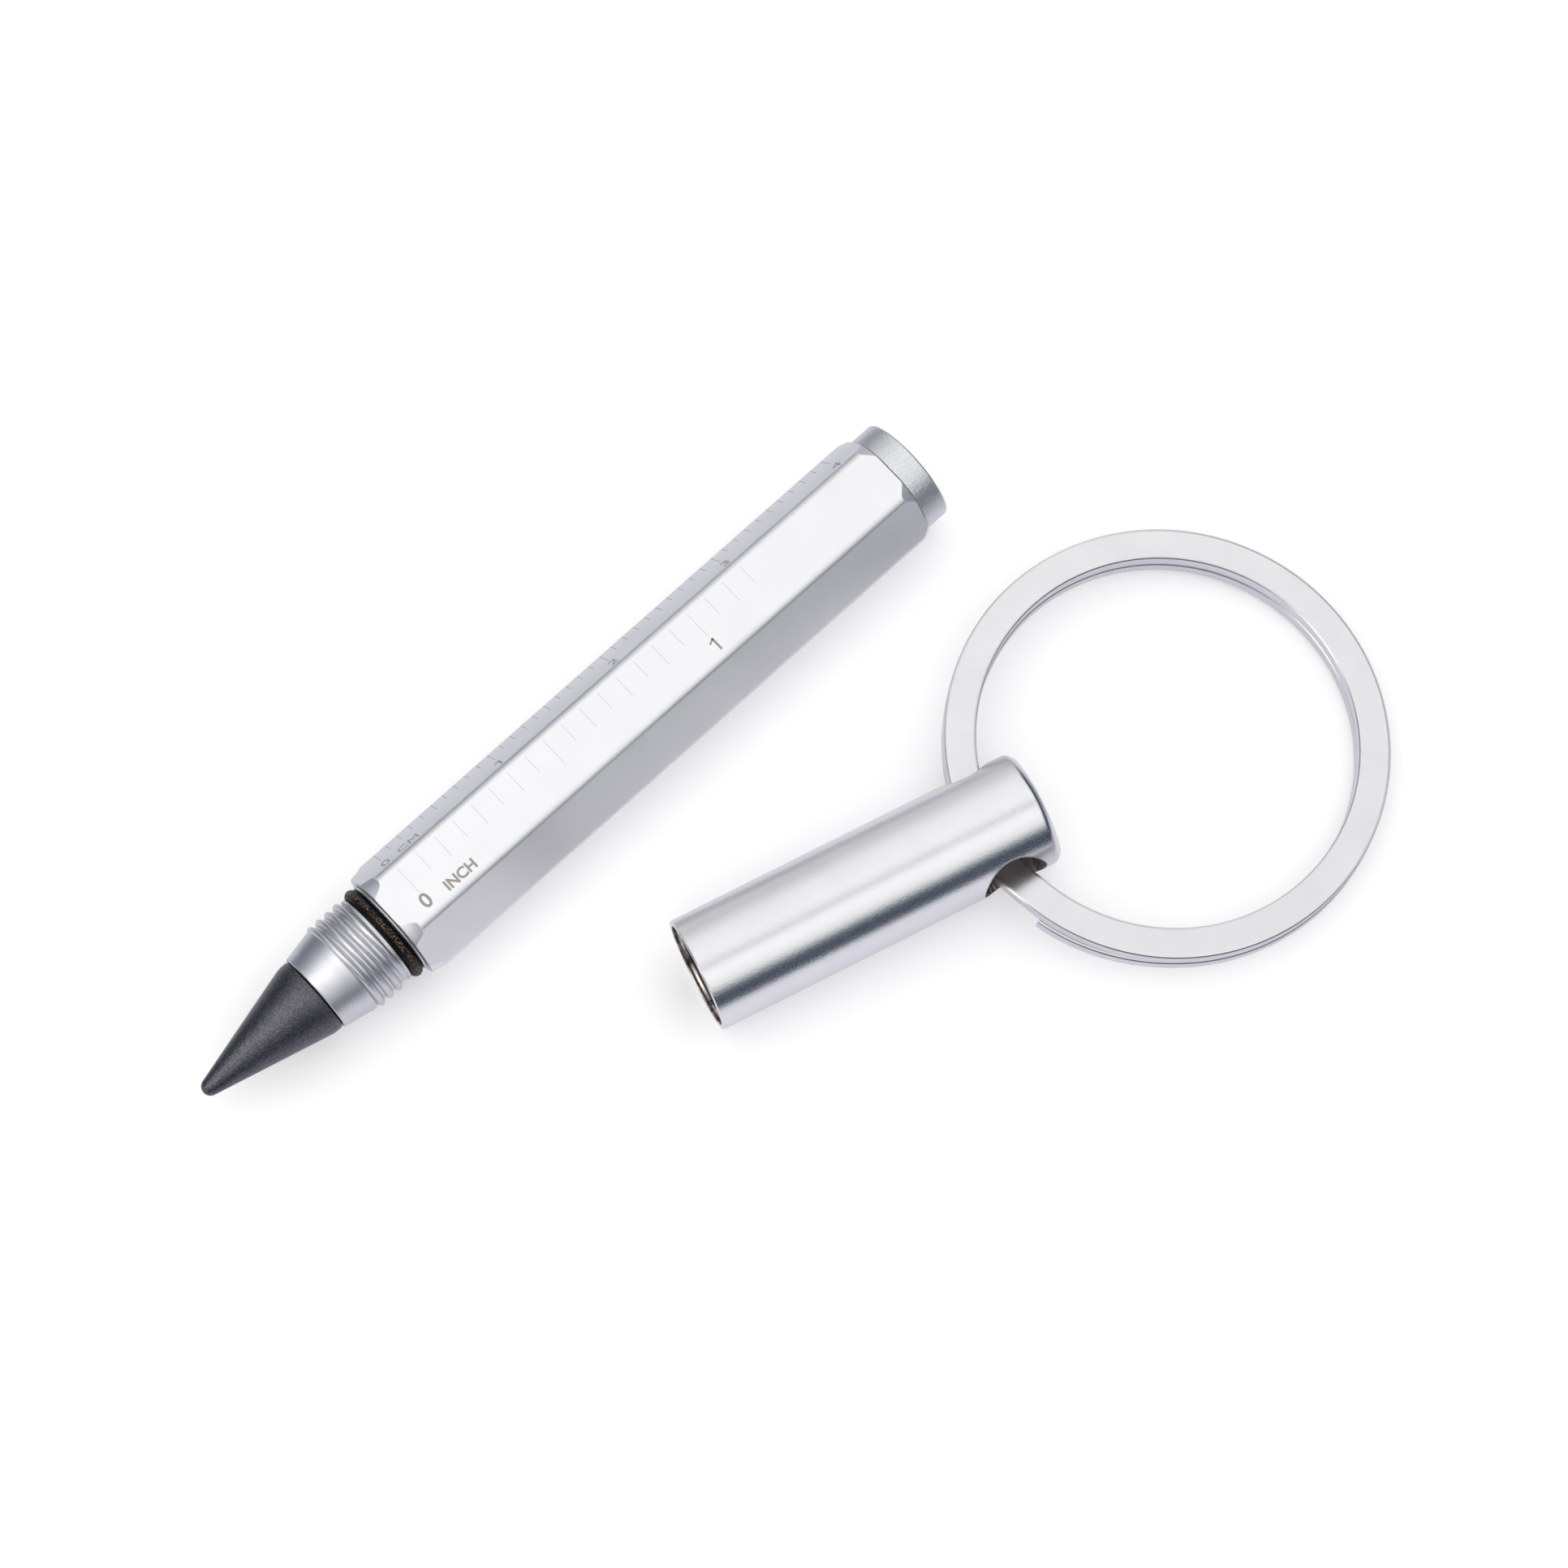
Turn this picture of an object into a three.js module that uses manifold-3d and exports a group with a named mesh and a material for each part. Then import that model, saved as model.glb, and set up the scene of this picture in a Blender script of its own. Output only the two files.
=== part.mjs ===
// Everlasting pencil for a key ring: a hexagonal aluminium barrel with a graphite tip, lying on a
// table beside the screw cap that covers the tip, with a two-turn split ring through the cap's end.
// Millimetres, +Z up, table at z = 0, origin under the middle of the barrel, +X along the cap.
import * as THREE from 'three';
import { mergeVertices } from 'three/addons/utils/BufferGeometryUtils.js';
import Module from 'manifold-3d';

const wasm = await Module();
wasm.setup();

// Barrel: a drawn hexagonal bar, bored through, with turned leads at both ends
const acrossFlats = 7.7;
const barrelLength = 44.4;
const edgeRadius = 0.75;
const leadEndRadius = 4.05;
const leadAngle = THREE.MathUtils.degToRad(23);
const boreRadius = 2.8;
const cutterSpare = 1;

// Seams and fits
const seam = 0.06;
const spigotClearance = 0.06;
const threadClearance = 0.08;
const flangeClearance = 0.1;
const stemClearance = 0.06;

// Screw thread between ferrule and cap
const threadRadius = 3.52;
const threadDepth = 0.32;
const threadPitch = 0.75;
const crestHalfWidth = 0.13;
const rootHalfWidth = 0.35;
const threadSink = 0.12;
const crestShoulder = 0.06;
const fadeInTurns = 1.1;
const fadeOutTurns = 0.35;
const threadStart = 4.93;
const threadTurns = 4.35;
const threadStartAngle = Math.PI / 2;
const innerTurns = 5.5;

// Ferrule in front of the barrel
const flangeLength = 0.24;
const neckRadius = 3.34;
const neckLength = 0.3;
const noseLength = 6.64;
const noseTaperLength = 2.4;
const noseFrontRadius = 2.9;
const noseRearRadius = 3.36;
const noseEdge = 0.06;
const ferruleSpigotLength = 6;
const spigotChamfer = 0.3;

// Seal in the ferrule's groove
const sealSection = 0.5;
const sealSqueeze = 0.02;
const sealClearance = 0.04;

// Graphite tip and the stem that holds it
const tipBaseRadius = 2.78;
const tipPointRadius = 0.62;
const tipShoulderRadius = 3.2;
const tipLand = 0.35;
const stemRadius = 1.25;
const tipSolidLength = 5.42;
const stemInFerrule = 5;
const stemChamfer = 0.25;
const stemEndGap = 0.4;

// Plug at the barrel's rear
const plugRadius = 3.84;
const plugLength = 1.8;
const plugRound = 0.3;
const plugSpigotLength = 4;

// Cap
const capRadius = 3.95;
const capLength = 25;
const capMouthEdge = 0.08;
const capEndRound = 0.6;
const sealLandLength = 1.5;
const threadedLength = 6.4;
const tipBoreRadius = 3.05;
const tipBoreSpare = 1;
const crossHoleRadius = 2.3;
const crossHoleFromEnd = 3.5;
const crossHoleWall = 1.88;
const crossHoleRoll = THREE.MathUtils.degToRad(3.4);

// Split ring of flat wire
const ringOuterRadius = 14.9;
const wireWidth = 2.15;
const wireThickness = 0.9;
const coilGap = 0.45;
const wireEdge = 0.14;
const lowerEndAngle = THREE.MathUtils.degToRad(207);
const upperEndAngle = THREE.MathUtils.degToRad(896);
const jogStartAngle = THREE.MathUtils.degToRad(543);
const jogEndAngle = THREE.MathUtils.degToRad(564);
const endFlare = 0.18;
const endFlareAngle = THREE.MathUtils.degToRad(40);
const wireOffCentre = 0.395;
const ringDrop = 0.4;
const ringFloorGap = 0.02;

// Where the two separate pieces lie
const pencilHeading = THREE.MathUtils.degToRad(15.6);
const capMouthX = -5.15;
const capAxisY = -18.04;

// Facets round a circle
const roundSteps = 44;
const threadSteps = 28;
const holeSteps = 36;
const sealSteps = 10;
const ringStepsPerTurn = 60;
const capSteps = 52;

const finish = (color, roughness, metalness) =>
  new THREE.MeshStandardMaterial({ color, roughness, metalness });

// A copy with shared corners, no collapsed facets and every facet facing out
function closed(geometry) {
  const bare = geometry.clone();
  bare.deleteAttribute('normal');
  if (bare.hasAttribute('uv')) bare.deleteAttribute('uv');
  const merged = mergeVertices(bare, 1e-4);
  const corners = merged.getAttribute('position');
  const index = merged.getIndex().array;
  const kept = [];
  const [a, b, c] = [new THREE.Vector3(), new THREE.Vector3(), new THREE.Vector3()];
  let volume = 0;
  for (let i = 0; i < index.length; i += 3) {
    const [p, q, r] = [index[i], index[i + 1], index[i + 2]];
    if (p === q || q === r || r === p) continue;
    kept.push(p, q, r);
    a.fromBufferAttribute(corners, p);
    b.fromBufferAttribute(corners, q);
    c.fromBufferAttribute(corners, r);
    volume += a.dot(b.cross(c)) / 6;
  }
  merged.setIndex(volume < 0 ? kept.reverse() : kept);
  return merged;
}

function toSolid(geometry) {
  const mesh = closed(geometry);
  return new wasm.Manifold(new wasm.Mesh({
    numProp: 3,
    vertProperties: new Float32Array(mesh.getAttribute('position').array),
    triVerts: new Uint32Array(mesh.getIndex().array),
  }));
}

function toGeometry(solid) {
  const mesh = solid.getMesh();
  const geometry = new THREE.BufferGeometry();
  geometry.setAttribute('position', new THREE.BufferAttribute(mesh.vertProperties, 3));
  geometry.setIndex(new THREE.BufferAttribute(mesh.triVerts, 1));
  return geometry;
}

// A solid of revolution about X from [x, radius] points and arcs
function turned(points, steps = roundSteps) {
  const profile = points.map(([x, radius]) => new THREE.Vector2(radius, x));
  return new THREE.LatheGeometry(profile, steps).rotateZ(-Math.PI / 2);
}

// Points of a round between two directions, as [x, radius], both ends included
function roundOff(centreX, centreRadius, radius, from, to, steps) {
  return Array.from({ length: steps + 1 }, (_, i) => {
    const angle = from + (to - from) * i / steps;
    return [centreX + radius * Math.cos(angle), centreRadius + radius * Math.sin(angle)];
  });
}

// A skin over rings of points, closed at both ends
function skin(rings) {
  const sides = rings[0].length;
  const triangles = [];
  rings.slice(1).forEach((ring, i) => {
    for (let j = 0; j < sides; j++) {
      const a = i * sides + j;
      const b = i * sides + (j + 1) % sides;
      triangles.push(a, b, b + sides, a, b + sides, a + sides);
    }
  });
  const last = (rings.length - 1) * sides;
  for (let j = 1; j < sides - 1; j++) {
    triangles.push(0, j + 1, j, last, last + j, last + j + 1);
  }
  const geometry = new THREE.BufferGeometry();
  geometry.setAttribute('position', new THREE.Float32BufferAttribute(rings.flat(2), 3));
  geometry.setIndex(triangles);
  return geometry;
}

// A right-hand screw ridge about X that stands on the wall radius, inward or outward, with a
// rounded crest that fades in and out at its ends
function threadRidge(startX, startAngle, turns, wallRadius, height, sink) {
  const steps = Math.round(turns * threadSteps);
  const rings = [];
  for (let i = 0; i <= steps; i++) {
    const turn = turns * i / steps;
    const fade = Math.min(THREE.MathUtils.smoothstep(turn, -fadeInTurns / 5, fadeInTurns),
      THREE.MathUtils.smoothstep(turns - turn, -fadeOutTurns / 3, fadeOutTurns));
    const angle = startAngle + turn * 2 * Math.PI;
    const x = startX + turn * threadPitch;
    const crest = wallRadius + height * fade;
    const shoulder = crest - Math.sign(height) * crestShoulder * fade;
    const foot = wallRadius - sink;
    const section = [[-rootHalfWidth, foot], [-crestHalfWidth, shoulder], [0, crest],
      [crestHalfWidth, shoulder], [rootHalfWidth, foot]];
    rings.push(section.map(([dx, radius]) =>
      [x + dx, radius * Math.cos(angle), radius * Math.sin(angle)]));
  }
  return skin(rings);
}

function hexagonShape() {
  const shape = new THREE.Shape();
  const centreDistance = (acrossFlats / 2 - edgeRadius) / Math.cos(Math.PI / 6);
  for (let i = 0; i < 6; i++) {
    const angle = Math.PI / 6 + i * Math.PI / 3;
    const x = centreDistance * Math.cos(angle);
    const y = centreDistance * Math.sin(angle);
    shape.absarc(x, y, edgeRadius, angle - Math.PI / 6, angle + Math.PI / 6, false);
  }
  return shape;
}

function barrel() {
  const bar = new THREE.ExtrudeGeometry(hexagonShape(),
    { depth: barrelLength, bevelEnabled: false, curveSegments: 6 }).rotateY(Math.PI / 2);
  const reach = acrossFlats;
  const leadLength = (reach - leadEndRadius) / Math.tan(leadAngle);
  const leads = turned([[0, 0], [0, leadEndRadius], [leadLength, reach],
    [barrelLength - leadLength, reach], [barrelLength, leadEndRadius], [barrelLength, 0]], capSteps);
  const bore = new THREE.CylinderGeometry(boreRadius, boreRadius, barrelLength + 2 * cutterSpare,
    roundSteps).rotateZ(Math.PI / 2).translate(barrelLength / 2, 0, 0);
  return toGeometry(toSolid(bar).intersect(toSolid(leads)).subtract(toSolid(bore)));
}

const spigotRadius = boreRadius - spigotClearance;
const threadRootRadius = threadRadius - threadDepth;
const capBoreRadius = threadRadius + threadClearance;
const flangeRadius = capBoreRadius - flangeClearance;
const sealOuterRadius = capBoreRadius + sealSqueeze;
const grooveRadius = sealOuterRadius - 2 * sealSection - sealClearance;
const grooveLength = 2 * (sealSection + sealClearance);

// The ferrule's places count back from the barrel's front face at x = 0
const flangeFront = -seam - flangeLength;
const grooveFront = flangeFront - grooveLength;
const neckFront = grooveFront - neckLength;
const noseFront = -noseLength;
const noseRear = noseFront + noseTaperLength;

function ferrule() {
  const stemBore = stemRadius + stemClearance;
  const core = turned([
    [noseFront + stemInFerrule + stemEndGap, 0],
    [noseFront + stemInFerrule + stemEndGap, stemBore],
    [noseFront, stemBore],
    [noseFront, noseFrontRadius - noseEdge],
    [noseFront + noseEdge, noseFrontRadius],
    [noseRear, noseRearRadius],
    [noseRear + noseEdge, threadRootRadius],
    [neckFront, threadRootRadius],
    [neckFront + noseEdge, neckRadius],
    [grooveFront, neckRadius],
    [grooveFront, grooveRadius],
    [flangeFront, grooveRadius],
    [flangeFront, flangeRadius],
    [-seam, flangeRadius],
    [-seam, spigotRadius],
    [ferruleSpigotLength - spigotChamfer, spigotRadius],
    [ferruleSpigotLength, spigotRadius - spigotChamfer],
    [ferruleSpigotLength, 0],
  ]);
  const ridge = threadRidge(-threadStart, threadStartAngle, threadTurns,
    threadRootRadius, threadDepth, threadSink);
  return toGeometry(toSolid(core).add(toSolid(ridge)));
}

function seal() {
  return new THREE.TorusGeometry(sealOuterRadius - sealSection, sealSection, sealSteps, roundSteps)
    .rotateY(Math.PI / 2).translate((flangeFront + grooveFront) / 2, 0, 0);
}

const tipRear = noseFront - seam;

// The cap's bore stops short of its cross hole, and the tip fills the bore but for a clearance
const crossHoleFromMouth = capLength - crossHoleFromEnd;
const tipBoreDepth = crossHoleFromMouth - crossHoleRadius - crossHoleWall;
const tipPoint = -(tipBoreDepth - tipBoreSpare);
const stemInTip = tipRear - tipPoint - tipSolidLength;

// A cone with a ball point, and a shoulder that rounds into the base
function tip() {
  const ball = tipPoint + tipPointRadius;
  const shoulderX = tipRear - tipLand;
  const shoulderCentre = tipBaseRadius - tipShoulderRadius;
  const halfAngle = Math.atan2(shoulderCentre, shoulderX - ball)
    + Math.asin((tipShoulderRadius - tipPointRadius) / Math.hypot(shoulderX - ball, shoulderCentre));
  const coneTurn = Math.PI / 2 + halfAngle;
  const outside = [
    ...roundOff(ball, 0, tipPointRadius, Math.PI, coneTurn, 5),
    ...roundOff(shoulderX, shoulderCentre, tipShoulderRadius, coneTurn, Math.PI / 2, 4),
  ];
  outside[0][1] = 0;
  return turned([...outside, [tipRear, tipBaseRadius], [tipRear, stemRadius + stemClearance],
    [tipRear - stemInTip - stemEndGap, stemRadius + stemClearance],
    [tipRear - stemInTip - stemEndGap, 0]]);
}

function stem() {
  const front = tipRear - stemInTip;
  const rear = noseFront + stemInFerrule;
  return turned([[front, 0], [front, stemRadius - stemChamfer], [front + stemChamfer, stemRadius],
    [rear - stemChamfer, stemRadius], [rear, stemRadius - stemChamfer], [rear, 0]], 32);
}

function plug() {
  const faceRadius = plugRadius - plugRound;
  return turned([
    [-plugSpigotLength, 0],
    [-plugSpigotLength, spigotRadius - spigotChamfer],
    [-plugSpigotLength + spigotChamfer, spigotRadius],
    [seam, spigotRadius],
    [seam, plugRadius],
    ...roundOff(plugLength - plugRound, faceRadius, plugRound, Math.PI / 2, 0, 5),
    [plugLength, 0],
  ]);
}

// The cap counts from its mouth at x = 0 to its closed end
function cap() {
  const shell = turned([
    [capLength, 0],
    ...roundOff(capLength - capEndRound, capRadius - capEndRound, capEndRound, 0, Math.PI / 2, 5),
    [capMouthEdge, capRadius],
    [0, capRadius - capMouthEdge],
    [0, capBoreRadius],
    [sealLandLength + threadedLength, capBoreRadius],
    [sealLandLength + threadedLength, tipBoreRadius],
    [tipBoreDepth, tipBoreRadius],
    [tipBoreDepth, 0],
  ], capSteps);
  const ridge = threadRidge(sealLandLength + rootHalfWidth, 0, innerTurns,
    capBoreRadius, -threadDepth, -threadSink);
  const crossHole = new THREE.CylinderGeometry(crossHoleRadius, crossHoleRadius,
    2 * (capRadius + cutterSpare), holeSteps)
    .rotateX(-crossHoleRoll).translate(crossHoleFromMouth, 0, 0);
  return toGeometry(toSolid(shell).add(toSolid(ridge)).subtract(toSolid(crossHole)));
}

const coilPitch = wireThickness + coilGap;
const ringHeight = coilPitch + wireThickness;

// Flat wire wound twice: a lower turn, a jog up to the next layer, and an upper turn
function splitRing() {
  const meanRadius = ringOuterRadius - wireWidth / 2;
  const [halfWidth, halfThick] = [wireWidth / 2, wireThickness / 2];
  const section = [[-halfWidth + wireEdge, -halfThick], [halfWidth - wireEdge, -halfThick],
    [halfWidth, -halfThick + wireEdge], [halfWidth, halfThick - wireEdge],
    [halfWidth - wireEdge, halfThick], [-halfWidth + wireEdge, halfThick],
    [-halfWidth, halfThick - wireEdge], [-halfWidth, -halfThick + wireEdge]];
  const steps = Math.round((upperEndAngle - lowerEndAngle) / (2 * Math.PI) * ringStepsPerTurn);
  const rings = Array.from({ length: steps + 1 }, (_, i) => {
    const angle = Math.min(lowerEndAngle + i * 2 * Math.PI / ringStepsPerTurn, upperEndAngle);
    const height = coilPitch * THREE.MathUtils.smoothstep(angle, jogStartAngle, jogEndAngle)
      - coilPitch / 2;
    const flare = endFlare * (1 - THREE.MathUtils.smoothstep(angle, lowerEndAngle,
      lowerEndAngle + endFlareAngle));
    return section.map(([across, up]) => {
      const radius = meanRadius + flare + across;
      return [radius * Math.cos(angle), radius * Math.sin(angle), height + up];
    });
  });
  return { geometry: skin(rings), rings };
}

// The least distance between points of the wire that lie more than a quarter turn apart on it
function leastGap(rings) {
  const apart = ringStepsPerTurn / 4;
  let least = Infinity;
  rings.forEach((ring, i) => rings.slice(i + apart).forEach((other) => {
    for (const [px, py, pz] of ring) {
      for (const [qx, qy, qz] of other) least = Math.min(least, Math.hypot(px - qx, py - qy, pz - qz));
    }
  }));
  return least;
}

function piece(name, geometry, material) {
  const mesh = new THREE.Mesh(closed(geometry), material);
  mesh.name = name;
  return mesh;
}

// The pencil lies on one flat, turned a little from the cap
const pencil = new THREE.Group();
pencil.position.set(0, 0, acrossFlats / 2);
pencil.rotation.z = pencilHeading;
const fromFront = new THREE.Group();
fromFront.position.x = -barrelLength / 2;
pencil.add(fromFront);
fromFront.add(
  piece('hex_barrel', barrel(), finish(0xdcdde0, 0.34, 0.85)),
  piece('front_ferrule', ferrule(), finish(0xb9bfc8, 0.3, 0.9)),
  piece('seal_ring', seal(), finish(0x1b1715, 0.45, 0)),
  piece('writing_tip', tip(), finish(0x38383d, 0.5, 0.35)),
  piece('tip_stem', stem(), finish(0xa7abb1, 0.35, 0.9)),
);
const rearPlug = piece('rear_plug', plug(), finish(0xb4b8bf, 0.5, 0.85));
rearPlug.position.x = barrelLength;
fromFront.add(rearPlug);

// The cap lies on its side
const capGroup = new THREE.Group();
capGroup.position.set(capMouthX, capAxisY, capRadius);
capGroup.add(piece('screw_cap', cap(), finish(0xcfd2d6, 0.38, 0.88)));

// The ring hangs in the cross hole and lies with its far side on the table
const pivotHeight = capRadius - ringDrop;
const ringFromHole = ringOuterRadius - wireWidth / 2 - wireOffCentre;
const ringReach = ringFromHole + ringOuterRadius;
const ringSlope = Math.asin((pivotHeight - ringHeight / 2 - ringFloorGap) / ringReach);
const ring = splitRing();
const ringGroup = new THREE.Group();
ringGroup.position.set(crossHoleFromMouth, 0, pivotHeight - capRadius);
ringGroup.rotation.y = ringSlope;
const splitRingMesh = piece('split_ring', ring.geometry, finish(0xe2e3e5, 0.28, 0.9));
splitRingMesh.position.x = ringFromHole;
ringGroup.add(splitRingMesh);
capGroup.add(ringGroup);

console.log(`split ring: least gap to itself ${leastGap(ring.rings).toFixed(2)} mm`);

const everlastingPencil = new THREE.Group();
everlastingPencil.add(pencil, capGroup);

export default everlastingPencil;
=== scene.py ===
import math

import bpy
from mathutils import Matrix, Vector


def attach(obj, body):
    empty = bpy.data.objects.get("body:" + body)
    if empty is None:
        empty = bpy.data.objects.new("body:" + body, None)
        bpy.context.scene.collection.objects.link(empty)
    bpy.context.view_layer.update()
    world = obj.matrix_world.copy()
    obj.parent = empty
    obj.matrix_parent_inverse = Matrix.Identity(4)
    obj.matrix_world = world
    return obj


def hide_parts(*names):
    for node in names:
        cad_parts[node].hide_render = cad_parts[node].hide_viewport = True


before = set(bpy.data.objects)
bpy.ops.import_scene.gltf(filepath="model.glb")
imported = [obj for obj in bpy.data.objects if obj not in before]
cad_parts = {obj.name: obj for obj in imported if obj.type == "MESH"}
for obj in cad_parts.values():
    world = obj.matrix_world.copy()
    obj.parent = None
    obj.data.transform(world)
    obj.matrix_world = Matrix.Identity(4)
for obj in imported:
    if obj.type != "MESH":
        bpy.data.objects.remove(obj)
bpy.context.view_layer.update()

mm = 0.001
fullTurn = 2 * math.pi

# Where the pencil, the cap and the ring lie, in millimetres and degrees
layout = {
    "pencilHeading": 15.6,
    "acrossFlats": 7.7,
    "barrelLength": 44.4,
    "capMouth": (-5.15, -18.04),
    "capRadius": 3.95,
    "ringPivot": (16.35, -18.04, 3.55),
    "ringSlope": 4.87,
    "ringReach": 13.43,
}


def moveTo(x, y, z):
    return Matrix.Translation(Vector((x, y, z)) * mm)


def turnAbout(axis, degrees):
    return Matrix.Rotation(math.radians(degrees), 4, axis)


# Pencil pieces are made along X from the barrel's front face, the cap from its mouth
pencilPlace = (
    moveTo(0, 0, layout["acrossFlats"] / 2)
    @ turnAbout("Z", layout["pencilHeading"])
    @ moveTo(-layout["barrelLength"] / 2, 0, 0)
)
capPlace = moveTo(*layout["capMouth"], layout["capRadius"])
# The ring is wound about X, then laid down so that this axis points up
ringPlace = (
    moveTo(*layout["ringPivot"])
    @ turnAbout("Y", layout["ringSlope"])
    @ moveTo(layout["ringReach"], 0, 0)
    @ turnAbout("Y", -90)
)


# Modelling helpers


def deselectAll():
    if bpy.context.object and bpy.context.object.mode != "OBJECT":
        bpy.ops.object.mode_set(mode="OBJECT")
    bpy.ops.object.select_all(action="DESELECT")


def pick(piece):
    deselectAll()
    piece.select_set(True)
    bpy.context.view_layer.objects.active = piece
    return piece


def clearSelection(piece, kind):
    # Operators then act on what the caller selects
    pick(piece)
    bpy.ops.object.mode_set(mode="EDIT")
    bpy.ops.mesh.select_mode(type=kind)
    bpy.ops.mesh.select_all(action="DESELECT")
    bpy.ops.object.mode_set(mode="OBJECT")


def selectFaces(piece, wanted):
    clearSelection(piece, "FACE")
    for face in piece.data.polygons:
        face.select = wanted(face)
    bpy.ops.object.mode_set(mode="EDIT")


def selectEdges(piece, wanted):
    clearSelection(piece, "EDGE")
    corners = piece.data.vertices
    for edge in piece.data.edges:
        edge.select = wanted(*(corners[i].co / mm for i in edge.vertices))
    bpy.ops.object.mode_set(mode="EDIT")


def putAt(piece, place):
    # The place goes into the mesh, and the object stays at the origin
    pick(piece)
    piece.matrix_world = place
    bpy.ops.object.transform_apply(location=True, rotation=True, scale=True)


def outline(name, points, closed=False):
    # One vertex, extruded along the outline in the XY plane
    deselectAll()
    bpy.ops.mesh.primitive_plane_add(size=mm, location=(0, 0, 0))
    piece = bpy.context.object
    piece.name = piece.data.name = name
    bpy.ops.object.mode_set(mode="EDIT")
    bpy.ops.mesh.select_mode(type="VERT")
    bpy.ops.mesh.select_all(action="SELECT")
    bpy.ops.mesh.merge(type="CENTER")
    x, y = points[0]
    bpy.ops.transform.translate(value=(x * mm, y * mm, 0))
    for nextX, nextY in points[1:]:
        step = ((nextX - x) * mm, (nextY - y) * mm, 0)
        bpy.ops.mesh.extrude_vertices_move(TRANSFORM_OT_translate={"value": step})
        x, y = nextX, nextY
    if closed:
        bpy.ops.mesh.select_all(action="SELECT")
        bpy.ops.mesh.edge_face_add()
        bpy.ops.mesh.delete(type="ONLY_FACE")
    bpy.ops.object.mode_set(mode="OBJECT")
    return piece


def mendShell():
    # In edit mode: closes seams and poles, then turns all faces outward
    bpy.ops.mesh.select_all(action="SELECT")
    bpy.ops.mesh.remove_doubles(threshold=0.001 * mm)
    bpy.ops.mesh.normals_make_consistent(inside=False)


def turnOnLathe(name, profile, steps, closed=False):
    piece = pick(outline(name, profile, closed))
    bpy.ops.object.mode_set(mode="EDIT")
    bpy.ops.mesh.select_all(action="SELECT")
    bpy.ops.mesh.spin(steps=steps, angle=fullTurn, center=(0, 0, 0), axis=(1, 0, 0))
    mendShell()
    bpy.ops.object.mode_set(mode="OBJECT")
    return piece


def wind(name, section, turns, pitch, stepsPerTurn):
    # A section wound about X; its vertices stay in order, one section after the other
    piece = pick(outline(name, section, closed=True))
    steps = round(turns * stepsPerTurn)
    screw = piece.modifiers.new("wind", "SCREW")
    screw.axis = "X"
    screw.angle = turns * fullTurn
    screw.screw_offset = turns * pitch * mm
    screw.steps = screw.render_steps = steps
    screw.use_merge_vertices = False
    bpy.ops.object.modifier_apply(modifier="wind")
    return piece, steps


def closeEnds(piece):
    pick(piece)
    bpy.ops.object.mode_set(mode="EDIT")
    bpy.ops.mesh.select_mode(type="VERT")
    bpy.ops.mesh.select_all(action="SELECT")
    bpy.ops.mesh.fill_holes(sides=0)
    mendShell()
    bpy.ops.object.mode_set(mode="OBJECT")


def cutWith(piece, cutter, operation="DIFFERENCE"):
    pick(piece)
    cut = piece.modifiers.new("cut", "BOOLEAN")
    cut.operation = operation
    cut.solver = "EXACT"
    cut.object = cutter
    bpy.ops.object.modifier_apply(modifier="cut")
    bpy.data.objects.remove(cutter)
    return piece


def mendCut(piece):
    # A cut leaves slivers along its edges: they are merged away
    pick(piece)
    bpy.ops.object.mode_set(mode="EDIT")
    mendShell()
    bpy.ops.mesh.dissolve_degenerate(threshold=0.001 * mm)
    bpy.ops.object.mode_set(mode="OBJECT")


def joined(*parts):
    pick(parts[0])
    for part in parts[1:]:
        part.select_set(True)
    bpy.ops.object.join()
    return parts[0]


def smooth(piece, degrees):
    # Edges sharper than this stay crisp
    pick(piece)
    bpy.ops.object.shade_smooth_by_angle(angle=math.radians(degrees))
    weighted = piece.modifiers.new("weighted", "WEIGHTED_NORMAL")
    weighted.weight = 100
    weighted.keep_sharp = True
    bpy.ops.object.modifier_apply(modifier="weighted")


def settle(piece, place, body, material, node=None):
    # Puts a finished piece in its place and ties it to the frame
    putAt(piece, place)
    if material:
        piece.data.materials.clear()
        piece.data.materials.append(material)
    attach(piece, body)
    if node:
        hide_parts(node)
    return piece


def arc(centre, radius, startDegrees, endDegrees, count):
    points = []
    for i in range(count + 1):
        angle = math.radians(startDegrees + (endDegrees - startDegrees) * i / count)
        points.append((centre[0] + radius * math.cos(angle), centre[1] + radius * math.sin(angle)))
    return points


def smoothStep(value, low, high):
    t = min(max((value - low) / (high - low), 0), 1)
    return t * t * (3 - 2 * t)


# Material helpers


def colour(hexCode):
    channels = [int(hexCode[i : i + 2], 16) / 255 for i in (1, 3, 5)]
    return [c / 12.92 if c <= 0.04045 else ((c + 0.055) / 1.055) ** 2.4 for c in channels] + [1]


def setInputs(tree, node, inputs):
    # An input takes a value, a socket, or a node whose first output is linked
    for name, value in inputs.items():
        if isinstance(value, bpy.types.Node):
            value = value.outputs[0]
        if isinstance(value, bpy.types.NodeSocket):
            tree.links.new(value, node.inputs[name])
        else:
            node.inputs[name].default_value = value


def addNode(tree, kind, settings=None, inputs=None):
    node = tree.nodes.new("ShaderNode" + kind)
    for name, value in (settings or {}).items():
        setattr(node, name, value)
    setInputs(tree, node, inputs or {})
    return node


def newSurface(name):
    material = bpy.data.materials.new(name)
    material.use_nodes = True
    tree = material.node_tree
    return material, tree, tree.nodes["Principled BSDF"]


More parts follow.
